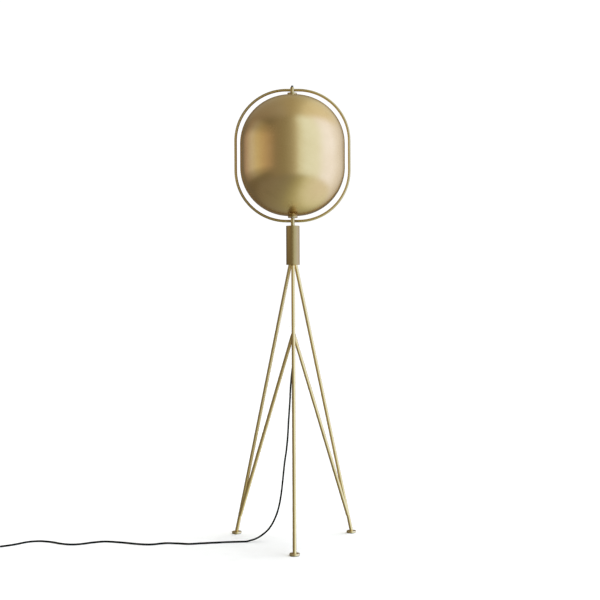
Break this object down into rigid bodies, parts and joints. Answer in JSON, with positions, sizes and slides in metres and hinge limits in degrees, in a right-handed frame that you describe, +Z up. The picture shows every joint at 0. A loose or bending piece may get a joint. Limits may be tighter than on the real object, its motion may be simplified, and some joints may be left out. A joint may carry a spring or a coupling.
{
  "type": "tripod floor lamp",
  "caption": "Brass floor lamp on a braced rod tripod, with a capsule shade that turns in an upright ring and a flex with foot switch and plug.",
  "frame": {"origin": "on the floor, on the column's axis, midway between the three feet", "axes": "+Z up along the column; the front leg points along -Y; the ring stands in the XZ plane; the brass side of the shade faces -Y and the diffuser +Y"},
  "size_m": [1.4062, 0.4191, 1.52],
  "materials": {
    "brass_satin": "satin, brushed along the turning direction",
    "steel_dark": "blackened, satin",
    "steel_zinc": "bright zinc",
    "pin_nickel": "nickel plated",
    "rubber_black": "matt",
    "plastic_black": "fine satin",
    "plastic_grey": "fine satin",
    "flex_black": "soft PVC sheath, satin",
    "nylon_white": "natural nylon",
    "ceramic_white": "glazed",
    "opal_acrylic": "opal, satin",
    "glass_opal": "opal coated"
  },
  "bodies": {
    "stand": {"foot_front": "brass_satin", "foot_left": "brass_satin", "foot_right": "brass_satin", "foot_pads": "rubber_black", "foot_screws": "steel_zinc", "leg_front": "brass_satin", "leg_left": "brass_satin", "leg_right": "brass_satin", "brace_front": "brass_satin", "brace_left": "brass_satin", "brace_right": "brass_satin", "leg_studs": "steel_zinc", "brace_hub": "brass_satin", "centre_tube": "brass_satin", "tube_nut": "steel_zinc", "cord_relief": "plastic_black", "column_shell": "brass_satin", "column_base": "brass_satin", "column_cap": "brass_satin", "column_screws": "steel_dark", "block_strap": "steel_zinc", "terminal_block": "nylon_white", "terminal_screws": "steel_zinc", "tube_lead": "flex_black", "stem_lead": "nylon_white", "stem_tube": "brass_satin", "stem_washer": "steel_zinc", "stem_nut": "steel_zinc", "lower_sleeve": "brass_satin", "upper_sleeve": "brass_satin", "ring_left": "brass_satin", "ring_right": "brass_satin", "thrust_washer": "nylon_white", "upper_washer": "nylon_white", "retaining_washer": "steel_zinc", "retaining_nut": "steel_zinc", "holder_cap": "plastic_black", "holder_skirt": "plastic_black", "contact_block": "ceramic_white", "bulb_cap": "steel_zinc", "bulb_glass": "glass_opal", "cord_tube": "flex_black", "cord_tail": "flex_black", "cord_coil": "flex_black", "cord_tie": "plastic_grey", "switch_body": "plastic_black", "plug_body": "plastic_black", "plug_pins": "pin_nickel"},
    "shade": {"shade_shell": "brass_satin", "diffuser": "opal_acrylic", "seam_band": "brass_satin", "seam_screws": "brass_satin", "lower_collar": "brass_satin", "upper_collar": "brass_satin", "lower_ring_nut": "brass_satin", "upper_ring_nut": "brass_satin", "pivot_pin": "steel_dark", "pivot_nut": "steel_zinc"},
    "button": {"switch_button": "plastic_grey"}
  },
  "joints": [
    {"name": "shade_turn", "type": "hinge", "parent": "stand", "child": "shade", "pos_m": [0, 0, 1.286], "axis": [0, 0, 1], "continuous": true},
    {"name": "switch_press", "type": "slide", "parent": "stand", "child": "button", "axis": [0, 0, -1], "range_m": [0, 0.0015], "stiffness_N_per_m": 500}
  ]
}
